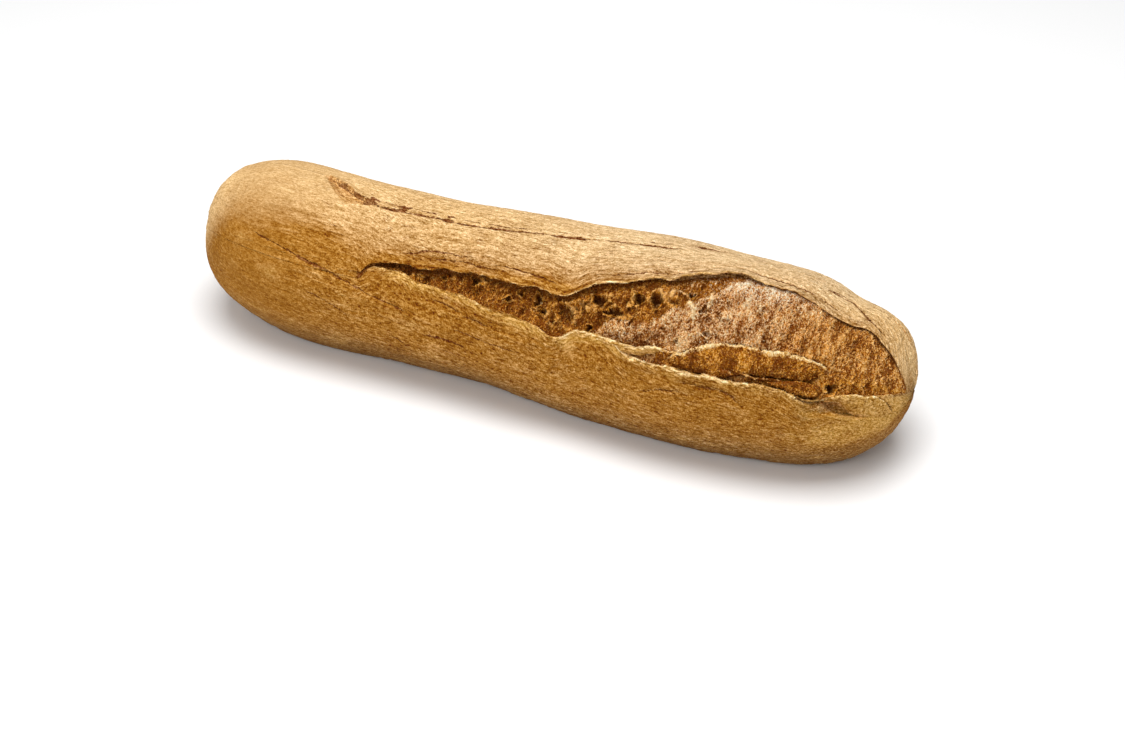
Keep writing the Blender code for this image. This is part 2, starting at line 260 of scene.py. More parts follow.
# ---------------- curves and the plain body
def smooth_through(points, column=1):
    """A smooth curve through (place, value, ...) rows, as a function of the place, that overshoots no row."""
    xs = np.array([row[0] for row in points], float)
    ys = np.array([row[column] for row in points], float)
    slopes = np.diff(ys) / np.diff(xs)
    before, after = slopes[:-1], slopes[1:]
    same_way = before * after > 0
    tangents = np.zeros(len(xs))
    tangents[1:-1][same_way] = 2 * before[same_way] * after[same_way] / (before + after)[same_way]

    def curve(x):
        x = np.clip(np.asarray(x, float), xs[0], xs[-1])
        i = np.clip(np.searchsorted(xs, x, side="right") - 1, 0, len(xs) - 2)
        step = xs[i + 1] - xs[i]
        t = (x - xs[i]) / step
        bend = tangents[i] * (1 - t) - tangents[i + 1] * t
        return ys[i] + (ys[i + 1] - ys[i]) * t * t * (3 - 2 * t) + step * t * (1 - t) * bend

    return curve


def ragged(*turns):
    """An uneven line along the loaf: for each (pitch, height), a turn every pitch mm, height mm each way."""
    lines = []
    for pitch, height in turns:
        knots = np.arange(-RAGGED_REACH, RAGGED_REACH + pitch, pitch)
        lines.append(smooth_through(np.stack([knots, rng.uniform(-height, height, len(knots))], 1)))
    return lambda x_mm: sum(line(x_mm) for line in lines)


half_width = smooth_through(HALF_WIDTHS)
spine = smooth_through(SPINE)
upper_lip = smooth_through(UPPER_LIP)
lower_lip = smooth_through(LOWER_LIP)
lip_roll = smooth_through(LIP_ROLL)
lip_light = smooth_through(LIP_LIGHT)
lip_dark = smooth_through(LIP_DARK)
edge_pale = smooth_through(EDGE_PALE)
score_line = smooth_through(SCORE)
tear_open = smooth_through(TEAR_OPEN)
gash_half_width = smooth_through(GASH_HALF_WIDTHS)
hollow_depth = smooth_through(HOLLOW_DEPTHS)
bulge_edge = smooth_through(BULGE_EDGE)
bulge_depths = [smooth_through(BULGE_DEPTHS, column) for column in (1, 2, 3)]
lip_waves = ragged((7, 0.7), (3.1, 0.6), (1.5, 0.45))
lower_lip_waves = ragged((9, 0.5), (3.7, 0.4), (1.6, 0.35))
lip_swells = ragged((11, 0.4), (4.3, 0.3), (1.9, 0.2))
score_waves = ragged((3.5, 0.8), (1.7, 0.6))
bulge_waves = ragged((5, 1.6), (2.2, 1.2), (1.1, 0.6))
rim_waves = ragged((6, 0.6), (2.6, 0.6), (1.2, 0.45))
rim_swells = ragged((9, 0.5), (3, 0.3), (1.5, 0.2))


def bump(x, middle, reach):
    """A round hump of height 1 at the middle, gone past about twice the reach."""
    return np.exp(-(((x - middle) / reach) ** 2))


def spot(x, angle, middle, turn, reach, turn_reach):
    """A round hump of height 1 at a place on the loaf."""
    return bump(x, middle, reach) * bump(angle, turn, turn_reach)


def ease(low, high, x):
    """0 below low, 1 above high, and smooth between them."""
    t = np.clip((x - low) / (high - low), 0, 1)
    return t * t * (3 - 2 * t)


def unevenness(x, angle):
    """How far the plain body swells there, in metres."""
    height, pitch, wave, start = LONG_SWELL
    swell = height * np.sin(x / pitch + start + wave * np.cos(angle))
    for height, pitch, twist, start in SWELLS:
        swell = swell + height * np.sin(x / pitch + twist * angle + start)
    swell = swell - SHOULDER_DROP * spot(x, angle, *SHOULDER)
    for middle, turn, reach, turn_reach, depth in DENTS:
        swell = swell - depth * spot(x, angle, middle * MM, turn * DEG, reach * MM, turn_reach * DEG)
    return swell * MM


def body(tau, angle):
    """Points of the plain loaf. tau is 0 at the left tip and pi at the right one, angle 0 at the crest."""
    share = -np.cos(tau)
    x = share * LENGTH / 2
    bluntness = np.where(share < 0, LEFT_END_BLUNTNESS, RIGHT_END_BLUNTNESS)
    taper = np.sqrt(np.clip(1 - np.abs(share) ** bluntness, 0, 1))
    radius = (half_width(share) * MM + unevenness(x, angle)) * taper
    centre = BASE_SINK * HEIGHT_TO_WIDTH * half_width(0) * MM
    pressed = ease(PRESS_START, PRESS_WHOLE, np.abs(angle) / DEG)
    y = spine(share) * MM - radius * np.sin(angle)
    z = centre + HEIGHT_TO_WIDTH * radius * np.cos(angle) - BASE_PRESS * taper * pressed
    near = np.clip(BASE_BLEND - np.abs(z), 0, None)
    z = np.maximum(z, 0) + near**2 / (4 * BASE_BLEND)
    return np.stack(np.broadcast_arrays(x, y, z), -1)


def unit(v):
    return v / np.maximum(np.linalg.norm(v, axis=-1, keepdims=True), 1e-12)


def directions(tau, angle):
    """Unit vectors out of the surface and round it, towards the front."""
    step = 1e-4
    along = body(tau + step, angle) - body(tau - step, angle)
    round_it = unit(body(tau, angle + step) - body(tau, angle - step))
    return unit(np.cross(round_it, along)), round_it


def lifted(tau, angle_deg, shift_mm, height_mm):
    """Points off the plain body: shift round it towards the front, and height out of it."""
    out, round_it = directions(tau, angle_deg * DEG)
    moved = out * (height_mm * MM)[..., None] + round_it * (shift_mm * MM)[..., None]
    return body(tau, angle_deg * DEG) + moved


def even_rings(count, first, last):
    """tau of rings an even step apart along the loaf's outline, from x = first to x = last in mm."""
    fine = np.linspace(0, np.pi, 6001)
    path = body(fine, 60 * DEG)
    run = np.concatenate([[0], np.cumsum(np.linalg.norm(np.diff(path, axis=0), axis=1))])
    edge = np.arccos(np.clip(-np.array([first, last]) * MM / (LENGTH / 2), -1, 1))
    ends = np.interp(edge, fine, run)
    return np.interp(np.linspace(*ends, count), run, fine)


def along_mm(tau):
    return -np.cos(tau) * LENGTH / 2 / MM


def arc_width(tau, low_angle, high_angle):
    """Rough distance round the body between two angles, in mm."""
    steps = [body(tau, low_angle + (high_angle - low_angle) * n / 6) for n in range(7)]
    return sum(np.linalg.norm(b - a, axis=-1) for a, b in zip(steps, steps[1:])) / MM


def line_sides(line, x_mm, angle_deg):
    """For every point: signed mm off a line, plain mm off it past its ends too, and mm to its nearer end."""
    nearest = np.full(x_mm.shape, 1e3)
    side_of = np.zeros(x_mm.shape)
    to_end = np.zeros(x_mm.shape)
    line = np.array(line, float) * (1, ARC)
    lengths = np.hypot(*np.diff(line, axis=0).T)
    run = np.concatenate([[0], np.cumsum(lengths)])
    for start, end, length, done in zip(line, line[1:], lengths, run):
        way = (end - start) / length
        from_x = x_mm - start[0]
        from_a = angle_deg * ARC - start[1]
        along = from_x * way[0] + from_a * way[1]
        side = way[0] * from_a - way[1] * from_x
        distance = np.hypot(side, np.maximum(np.maximum(-along, along - length), 0))
        closer = distance < nearest
        place = done + np.clip(along, 0, length)
        nearest = np.where(closer, distance, nearest)
        side_of = np.where(closer, side, side_of)
        to_end = np.where(closer, np.minimum(place, run[-1] - place), to_end)
    return side_of, nearest, to_end


# ---------------- the torn crumb's depth
BULGE_BLEND = 1.3  # mm each side of the bulge's edge


def bulge_share(x_mm, angle_deg):
    """1 on the bulge of pale crumb, 0 in the hollow."""
    return ease(-BULGE_BLEND, BULGE_BLEND, (angle_deg - bulge_edge(x_mm)) * ARC + bulge_waves(x_mm))


def crumb_depth(x_mm, angle_deg, share):
    """Depth of the crumb below the plain loaf in mm, share of the way from the upper lip to the lower."""
    share = np.clip(share, 0, 1)
    rest = 1 - share
    hollow = hollow_depth(x_mm) * (0.55 + 1.8 * share - 1.85 * share**2)
    first, middle, last = (depth(x_mm) for depth in bulge_depths)
    bulge = first * rest * (1 - 2 * share) + middle * 4 * share * rest + last * share * (2 * share - 1)
    return hollow + (bulge - hollow) * bulge_share(x_mm, angle_deg)


# ---------------- meshes from grids
def grid_faces(rings, rows):
    """Quads of a tube of points numbered ring by ring."""
    ring = np.arange(rings - 1)[:, None] * rows
    row = np.arange(rows)[None, :]
    following = (row + 1) % rows
    quads = [ring + row, ring + following, ring + rows + following, ring + rows + row]
    return np.stack(np.broadcast_arrays(*quads), -1).reshape(-1, 4)


def new_piece(name, points, quads, numbers=None):
    """A mesh object from points and quads, with a number for every point under each name in numbers."""
    mesh = bpy.data.meshes.new(name)
    quads = np.asarray(quads, np.int32)
    mesh.vertices.add(len(points))
    mesh.vertices.foreach_set("co", np.asarray(points, np.float32).ravel())
    mesh.loops.add(quads.size)
    mesh.loops.foreach_set("vertex_index", quads.ravel())
    mesh.polygons.add(len(quads))
    mesh.polygons.foreach_set("loop_start", np.arange(0, quads.size, 4, dtype=np.int32))
    mesh.polygons.foreach_set("loop_total", np.full(len(quads), 4, np.int32))
    mesh.update(calc_edges=True)
    mesh.validate()
    for attribute, values in (numbers or {}).items():
        values = np.asarray(values, np.float32)
        kind, field = ("FLOAT", "value") if values.ndim == 1 else ("FLOAT_VECTOR", "vector")
        mesh.attributes.new(attribute, kind, "POINT").data.foreach_set(field, values.ravel())
    mesh.shade_smooth()
    piece = bpy.data.objects.new(name, mesh)
    bpy.context.scene.collection.objects.link(piece)
    return piece


def new_tube(name, points, numbers):
    """A piece from rings of points, each ring closed, with a flat face over each end."""
    rings, count = points.shape[:2]
    flat = {}
    for key, values in numbers.items():
        values = np.asarray(values)
        size = values.shape[2:]
        flat[key] = np.broadcast_to(values, (rings, count) + size).reshape((rings * count,) + size)
    piece = new_piece(name, points.reshape(-1, 3), grid_faces(rings, count), flat)
    skin = bmesh.new()
    skin.from_mesh(piece.data)
    skin.verts.ensure_lookup_table()
    for first in (0, (rings - 1) * count):
        skin.faces.new([skin.verts[first + n] for n in range(count)])
    bmesh.ops.recalc_face_normals(skin, faces=skin.faces)
    skin.to_mesh(piece.data)
    skin.free()
    piece.data.shade_smooth()
    return piece


def on_grid(shape, *columns):
    """Columns of one number for each ring, spread over the rows of a grid."""
    return [np.broadcast_to(column[:, None], shape) for column in columns]


# ---------------- crust
CRUST_RINGS = 444
CRUST_ENDS = (-174.93, 174.86)
FIRST_TAU = 0.004
UNDER_ROWS = 8
BACK_ROWS = 64
CREST_ROWS = 44
FRONT_ROWS = 60
BACK_EDGE = -128
FRONT_EDGE = 132
EAR_REACH = 1.5
EAR_LIFT = 1.2
EAR_THICKNESS = 1.1
WIDE_TEAR = 12
FLOOR_BELOW = 5.0
SCORE_BORDER = 9.6
GASH_HOLE = (-83, 2.2, 3.0)
# Rows across the score: share of the gash's half width, degrees more, height in mm, how torn, how pale
SCORE_BAND = (
    (-1, -1.8, 0.1, 0, 0), (-1, -0.7, 0.35, 0, 0.2), (-1, 0, 0.1, 0.6, 0), (-1, 0.3, -1.9, 1, 0),
    (-0.6, 0, -2.2, 1, 0), (-0.1, 0, -1.6, 1, 0), (0.4, 0, -1.0, 0.9, 0), (0.8, 0, -0.4, 0.6, 0),
    (1, 0.3, -0.1, 0.3, 0), (1, 1.6, 0, 0, 0),
)
# Reach of the lines that the wrinkles follow, in degrees off each lip, and the lips' usual places
UPPER_FLOW = (36, 43)
LOWER_FLOW = (26, 61)


def between(first, last, count):
    """Flush rows of count angles between two edges, the edges left out."""
    return [(first + (last - first) * (n + 1) / (count + 1), 0, 0, 0, 0) for n in range(count)]


def score_rows(x_mm):
    """Rows across the score and its gash, flush at both borders."""
    half = gash_half_width(x_mm)
    wide = ease(0.5, 2, half)
    middle = score_line(x_mm) + wide * 0.5 * score_waves(x_mm)
    half = half + wide * 0.4 * score_waves(x_mm + 31)
    gash = np.clip(half / 2.6, 0.15, 1) * ease(0, 0.15, half)
    hole_place, hole_reach, hole_depth = GASH_HOLE
    hole = hole_depth * bump(x_mm, hole_place, hole_reach)
    rows = [(middle - SCORE_BORDER, 0, 0, 0, 0)]
    for across, more, height, torn, pale in SCORE_BAND:
        sunk = gash * height * (1 + 0.3 * score_waves(x_mm + 20)) - (height < -1) * hole
        rows.append((middle + across * half + more, 0, sunk, torn * wide, pale * wide))
    return rows + [(middle + SCORE_BORDER, 0, 0, 0, 0)]


def tear_rows(tau, x_mm):
    """Rows over the upper lip, down its torn face, along the floor and out over the rounded lower lip."""
    opened = tear_open(x_mm)
    brink = upper_lip(x_mm) + opened * lip_waves(x_mm)
    low = lower_lip(x_mm) + opened * lower_lip_waves(x_mm)
    width = arc_width(tau, brink * DEG, low * DEG)
    ear = opened * np.minimum(1, width / WIDE_TEAR)
    roll = opened * lip_roll(x_mm) * np.minimum(1, width / 6)
    outer_layer = ease(70, 74, x_mm) * (1 - ease(104, 112, x_mm))
    tongue = bump(x_mm, 25.5, 4.5)
    calm = 1 - 0.65 * ease(88, 104, x_mm)
    lift = ear * (calm * (EAR_LIFT + lip_swells(x_mm)) + 0.9 * outer_layer - 0.5 * tongue)
    reach = ear * (calm * EAR_REACH + 0.6 * lip_swells(x_mm + 60) + 0.8 * outer_layer + 0.8 * tongue)
    thickness = ear * calm * EAR_THICKNESS
    top = brink - reach / ARC
    top_depth = crumb_depth(x_mm, brink, 0)
    low_depth = crumb_depth(x_mm, low, 1)

    def floor(share, side):
        angle = brink + share * (low - brink)
        depth = crumb_depth(x_mm, angle, share) + FLOOR_BELOW
        return angle, side * opened, -opened * depth, opened, 0

    # The last column's paleness is a painted highlight on the ear's edge, and on the rounded lower lip partly
    # paler dough, partly a painted highlight.
    return [
        (top - 5.0, 0, 0.08 * lift, 0, 0),
        (top - 3.4, 0, 0.25 * lift, 0, 0),
        (top - 2.0, 0.15 * reach, 0.5 * lift, 0, 0),
        (top - 0.9, 0.4 * reach, 0.8 * lift, 0, 0),
        (top, 0.75 * reach, lift, 0, 0.25 * ear),
        (top, reach, lift - 0.15 * ear, 0.1 * ear, 0.5 * ear),
        (top, reach + 0.1 * ear, lift - 0.5 * thickness, 0.4 * ear, 0.5 * ear),
        (top, 0.8 * reach, lift - thickness, 0.9 * ear, 0),
        (top, -0.4 * ear, lift - thickness - 1.2 * ear, ear, 0),
        (top, -3.0 * ear, -opened * 0.6 * top_depth, opened, 0),
        floor(0.06, -2.5),
        floor(0.5, 0),
        floor(0.94, 1.5),
        (low, 0.6 * opened, -opened * (low_depth + 0.6), opened, 0),
        (low, -0.1 * opened, -0.9 * opened, 0.8 * opened, 0),
        (low, -0.45 * roll, 0.05 * roll, 0.25 * opened, 0.5 * opened),
        (low, -0.3 * roll, 0.65 * roll, 0, 0.9 * opened),
        (low, 0.3 * roll, 0.95 * roll, 0, opened),
        (low + 1.1, 0, 0.95 * roll, 0, 0.6 * opened),
        (low + 2.3, 0, 0.7 * roll, 0, 0.25 * opened),
        (low + 3.9, 0, 0.35 * roll, 0, 0),
    ]


def crust_rows(tau, x_mm):
    """Rows of the crust's rings: (degrees, shift in mm, height in mm, how torn, how pale)."""
    score = score_rows(x_mm)
    tear = tear_rows(tau, x_mm)
    rows = between(-180, BACK_EDGE, UNDER_ROWS)
    rows += between(BACK_EDGE, score[0][0], BACK_ROWS) + score
    rows += between(score[-1][0], tear[0][0], CREST_ROWS) + tear
    rows += between(tear[-1][0], FRONT_EDGE, FRONT_ROWS)
    return rows + between(FRONT_EDGE, 180, UNDER_ROWS) + [(180, 0, 0, 0, 0)]


def crack_marks(x_mm, angle_deg):
    """Signed mm to the nearest crack and that crack's half width, which is negative where there is none."""
    best = np.full(x_mm.shape, 3.0)
    signed = np.full(x_mm.shape, 3.0)
    width = np.full(x_mm.shape, -0.6)
    for size, line in CRACKS:
        side, distance, to_end = line_sides(line, x_mm, angle_deg)
        closer = distance < best
        best = np.where(closer, distance, best)
        signed = np.where(closer, np.where(side < 0, -1, 1) * distance, signed)
        width = np.where(closer, size / 2 * np.clip(0.3 + to_end / 5, 0, 1), width)
    return signed, width


def fold_height(x_mm, angle_deg):
    """How far the folds raise the crust there, in mm."""
    total = 0 * x_mm
    for step, groove, reach, line in FOLDS:
        side, distance, to_end = line_sides(line, x_mm, angle_deg)
        fade = ease(0, 5, to_end + 0.5) * bump(distance, np.abs(side), 1.5)
        raised = step * np.tanh(side / 0.45) * np.exp(-np.abs(side) / reach)
        total = total + fade * (raised - groove * bump(side, 0, 0.45 * reach))
    return total


def flow_shift(x_mm, angle_deg):
    """Degrees to add so that lines of equal angle run along the lips near them."""
    upper, lower = upper_lip(x_mm), lower_lip(x_mm)
    shift = 0 * angle_deg
    for lip, flow, side in ((upper, UPPER_FLOW, angle_deg < (upper + lower) / 2), (lower, LOWER_FLOW, True)):
        reach, usual = flow
        shift = np.where(side & (shift == 0), bump(angle_deg, lip, reach) * (usual - lip), shift)
    return shift * tear_open(x_mm)


def crust_tint(x_mm, angle_deg):
    """How much paler, or below zero browner, the crust is there."""
    above = upper_lip(x_mm) - angle_deg
    below = angle_deg - lower_lip(x_mm)
    tint = lip_light(x_mm) * ease(-1, 0.5, below) * bump(below, 0, 6.5)
    tint = (tint - lip_dark(x_mm) * ease(-2, 0, above) * bump(above, 0, 12)) * tear_open(x_mm)
    tint = tint + 0.6 * ease(122, 150, x_mm) * ease(2, 8, below) * (1 - ease(105, 130, angle_deg))
    tint = tint + 0.5 * ease(155, 170, x_mm) * ease(58, 70, angle_deg) * (1 - ease(95, 120, angle_deg))
    for *place, brown in BROWN_PATCHES:
        tint = tint - brown * spot(x_mm, angle_deg, *place)
    return tint


def make_crust():
    """The whole skin of the loaf: one closed tube, torn open and folded."""
    tau = np.unique(np.round(np.concatenate([[FIRST_TAU], even_rings(CRUST_RINGS, *CRUST_ENDS)]), 7))
    x_mm = along_mm(tau)
    columns = zip(*crust_rows(tau, x_mm))
    angle, shift, height, torn, pale = (
        np.stack([np.broadcast_to(value, tau.shape) for value in column], 1) for column in columns
    )
    grid_tau, grid_x = on_grid(angle.shape, tau, x_mm)
    out, round_it = directions(grid_tau, angle * DEG)
    crack, crack_width = crack_marks(grid_x, angle)
    groove = np.where(crack_width > 0, bump(crack, 0, 0.9) * crack_width, 0)
    pocket = spot(grid_x, angle, *POCKET)
    height = height + np.where(torn < 0.05, fold_height(grid_x, angle) - groove - POCKET_DEPTH * pocket, 0)
    for *place, rise in HUMPS:
        height = height + rise * spot(grid_x, angle, *place)
    points = lifted(grid_tau, angle, shift, height)
    points[..., 2] = np.maximum(points[..., 2], 0)
    drift = (flow_shift(grid_x, angle) * ARC - FLOW_SLANT * grid_x) * MM
    lip_near = np.minimum(np.abs(upper_lip(grid_x) - angle), np.abs(angle - lower_lip(grid_x) - 1.5))
    up = out[..., 2] * np.cos(FLOUR_SIDE) + out[..., 1] * np.sin(FLOUR_SIDE)
    up = up + 0.3 * ease(110, 135, grid_x) * bump(angle, -18, 18)
    at_end = 0.5 * ease(145, 174, np.abs(grid_x)) + 0.4 * ease(140, 172, -grid_x)
    numbers = {
        "tint": crust_tint(grid_x, angle),
        "flow": points + round_it * drift[..., None],
        "torn": np.maximum(torn, 0.8 * pocket),
        "pale": pale * edge_pale(grid_x),
        "crack": crack,
        "crack_width": crack_width,
        "up": up + at_end * (1 - ease(0.5, 1, up)),
        # how much the skin faces down, for the painted shade on its underside
        "under": -out[..., 2],
        "lip": tear_open(grid_x) * bump(lip_near, 0, 9),
        "loose": ease(0.2, 1.5, points[..., 2] / MM),
    }
    return new_tube("crust", points, numbers)


# ---------------- torn crumb
HIDDEN_BACK = 4.0
HIDDEN_FRONT = 2.5
SKIRT = 8
FIBRE_STRETCH = 0.45
WALL_REACH = 0.65
WALL_RISE = 0.7
LUMP_HEIGHT = 0.7
FLAP_CLEARANCE = 1.6


def pores_and_walls(x_mm, angle_deg):
    """Depth of the large pores in mm, the painted shade in them, and 1 on the thin walls round them."""
    depth = np.zeros(angle_deg.shape)
    pore_shade = np.zeros(angle_deg.shape)
    wall = np.zeros(angle_deg.shape)
    for place, turn, half_length, half_height, pore_depth in PORES:
        along = (x_mm - place) / half_length
        round_it = (angle_deg - turn) * ARC / half_height
        wobble = 1 + 0.22 * np.sin(3 * np.arctan2(round_it, along) + place)
        from_middle = np.hypot(along, round_it) / wobble
        hole = 1 - ease(0.6, 1.15, from_middle)
        depth = depth + pore_depth * hole
        # painted shade inside the deeper pores
        pore_shade = np.maximum(pore_shade, hole * np.clip((pore_depth - 1.2) / 2.2, 0, 1))
        wall = np.maximum(wall, 0.45 * bump(from_middle, 1.3, 0.22))
    for line in MEMBRANES:
        wall = np.maximum(wall, bump(line_sides(line, x_mm, angle_deg)[1], 0, WALL_REACH))
    return depth, pore_shade, wall


def make_crumb(name, first, last, rings, columns):
    """The torn surface between the lips, from x = first to x = last, with a closed underside far below it."""
    tau = even_rings(rings, first, last)
    x_mm = along_mm(tau)
    opened = tear_open(x_mm)[:, None]
    top = upper_lip(x_mm)[:, None]
    low = lower_lip(x_mm)[:, None]
    width = arc_width(tau, top[:, 0] * DEG, low[:, 0] * DEG)[:, None]
    share = np.linspace(0, 1, columns)[None, :]
    across = -HIDDEN_BACK * opened + share * (width + (HIDDEN_BACK + HIDDEN_FRONT) * opened)
    part = across / np.maximum(width, 0.5)
    angle = top + np.clip(part, 0, 1) * (low - top)
    overrun = np.minimum(across, 0) + np.maximum(across - width, 0)
    grid_tau, grid_x = on_grid(angle.shape, tau, x_mm)
    depth = crumb_depth(grid_x, angle, part) + 0.35 * np.abs(overrun)
    depth = depth + (0.8 - 0.4 * ease(25, 40, grid_x) - 0.2 * ease(90, 102, grid_x)) * bump(across, 0, 1.4)
    behind_flap = ease(80, 90, grid_x) * (1 - ease(138, 147, grid_x))
    flap_rim = smooth_through(SHEETS["torn_flap"]["rim"])(grid_x)
    depth = depth + FLAP_CLEARANCE * behind_flap * ease(-2, 2.5, angle - flap_rim)
    lumps = np.sin(grid_x / 7.3 + 3 * part) * np.sin(part * 7 + grid_x / 19)
    depth = depth + LUMP_HEIGHT * lumps * ease(0, 0.15, part) * ease(0, 0.2, 1 - part)
    pore_depth, pore_shade, wall = pores_and_walls(grid_x, angle)
    depth = (depth + pore_depth) * (1 - 0.5 * wall) - WALL_RISE * wall
    points = lifted(grid_tau, angle, overrun, -opened * depth)
    edge_tau, edge_x, edge_angle, edge_part, edge_overrun = (
        values[:, [0, -1]] for values in (grid_tau, grid_x, angle, part, overrun)
    )
    under = crumb_depth(edge_x, edge_angle, edge_part) + SKIRT
    edges = lifted(edge_tau, edge_angle, edge_overrun, -np.maximum(opened, 0.3) * under)
    points = np.concatenate([edges[:, :1], points, edges[:, 1:]], 1)

    on_bulge = bulge_share(grid_x, angle)
    inside = ease(-1.5, 0.5, across) * ease(-1.5, 0.3, width - across) * ease(0.1, 0.6, opened)
    left = ease(-22, -38, grid_x)
    golden = 0.75 * ease(112, 150, grid_x + 16 * part) + 0.5 * ease(0.6, 1, part)
    # paler top of the bulge near the upper lip: partly flour, partly a painted highlight
    flour_and_highlight = bump(grid_x, 102, 28) * (1 - ease(0.08, 0.34, part))
    numbers = {
        "fibre": np.stack([grid_x, across * FIBRE_STRETCH, 0 * across], -1) * MM,
        "inside": inside * (1 - 0.45 * ease(128, 165, grid_x)),
        "fluffy": on_bulge * (0.7 + 0.5 * ease(66, 86, grid_x)),
        "pink": on_bulge * np.clip(1 - golden, 0, 1),
        "white": flour_and_highlight + 0.4 * spot(grid_x, angle, 54, 57, 9, 5),
        "pore_shade": pore_shade,
        # painted highlight on the thin walls between the pores
        "painted_wall_highlight": wall,
        # painted shade: the crumb darkened just under the upper lip, where the ear's shadow falls
        "painted_shade": (0.8 + 0.2 * left - 0.45 * ease(28, 45, grid_x)) * bump(across, 0, 1.4 + 1.4 * left),
    }
    numbers = {key: np.concatenate([v[:, :1], v, v[:, -1:]], 1) for key, v in numbers.items()}
    return new_tube(name, points, numbers)


SHEET_ROWS = 36
SHEET_UNDER_ROWS = 10
SHEET_RINGS_PER_MM = 3.2
SHEET_FIBRE_SHIFT = 20  # mm, so that the sheets' fibres differ from those of the crumb behind them


def make_sheet(name):
    """A torn sheet or lump, drawn from its rim and foot as SHEETS gives them."""
    plan = SHEETS[name]
    rim = smooth_through(plan["rim"])
    foot = smooth_through(plan["foot"])
    first, last = plan["rim"][0][0], plan["rim"][-1][0]
    whole, proud, belly, droop = plan["heights"]
    tau = even_rings(int((last - first) * SHEET_RINGS_PER_MM), first, last)
    x_mm = along_mm(tau)
    ends = np.sqrt(np.clip(np.minimum(x_mm - first, last - x_mm) / 4, 0, 1))[:, None]
    tall = np.clip((foot(x_mm) - rim(x_mm)) / 8, 0, 1)[:, None]
    top = rim(x_mm)[:, None] + ends * tall * rim_waves(x_mm)[:, None]
    low = foot(x_mm)[:, None] + 0.5 * ends * tall * rim_waves(x_mm + 40)[:, None]
    share = np.concatenate([np.linspace(0, 1, SHEET_ROWS), np.linspace(1, 0, SHEET_UNDER_ROWS)])[None, :]
    under = np.concatenate([np.zeros(SHEET_ROWS), np.ones(SHEET_UNDER_ROWS)])[None, :]
    angle = top + share * (low - top)
    grid_tau, grid_x = on_grid(angle.shape, tau, x_mm)
    from_rim = share * (low - top) * ARC
    uneven = ends * tall * rim_swells(x_mm)[:, None] * (1 - share)
    bead = 0.5 * tall * bump(from_rim, 0.9, 0.9)
    height = whole + ends * (proud * (1 - share) ** 2 + belly * np.sin(np.pi * share) + bead) + uneven
    height = height - droop * share**2 - 1.5 * (1 - ends)
    thickness = plan["thickness"] * ends * (0.35 + 0.65 * np.sin(np.pi * np.clip(share, 0.06, 0.5)))
    points = lifted(grid_tau, angle, 0 * angle, height - under * thickness)
    shown = ends * (1 - under)
    numbers = {
        "fibre": np.stack([grid_x, angle * ARC * 0.7, 0 * angle + SHEET_FIBRE_SHIFT], -1) * MM,
        "flow": points,
        "inside": shown * (0.3 + 0.7 * ease(0, 0.12, share)),
        "loose": shown,
        "pale": plan["pale"] * shown * bump(from_rim, 0, 1.7 + 1.6 * uneven),
        "up": 0.45,
        "under": 0,
        "fluffy": 0.5,
        "lip": 0.5,
        "tint": 0.9 - 0.5 * share,
        "torn": 0,
        "crack": 3,
        "crack_width": -0.6,
        # painted shade on the sheet's underside and towards its foot
        "painted_shade": 0.6 * under + 0.35 * share**6,
    }
    return new_tube(name, points, numbers)


# ---------------- node trees
class Wire:
    """An output of a node. Its plus, minus and times are maths nodes."""

    def __init__(self, nodes, socket):
        self.nodes = nodes
        self.socket = socket

    def __add__(self, other):
        return self.nodes.math("ADD", self, other)

    def __radd__(self, other):
        return self.nodes.math("ADD", other, self)

    def __sub__(self, other):
        return self.nodes.math("SUBTRACT", self, other)

    def __rsub__(self, other):
        return self.nodes.math("SUBTRACT", other, self)

    def __mul__(self, other):
        return self.nodes.math("MULTIPLY", self, other)


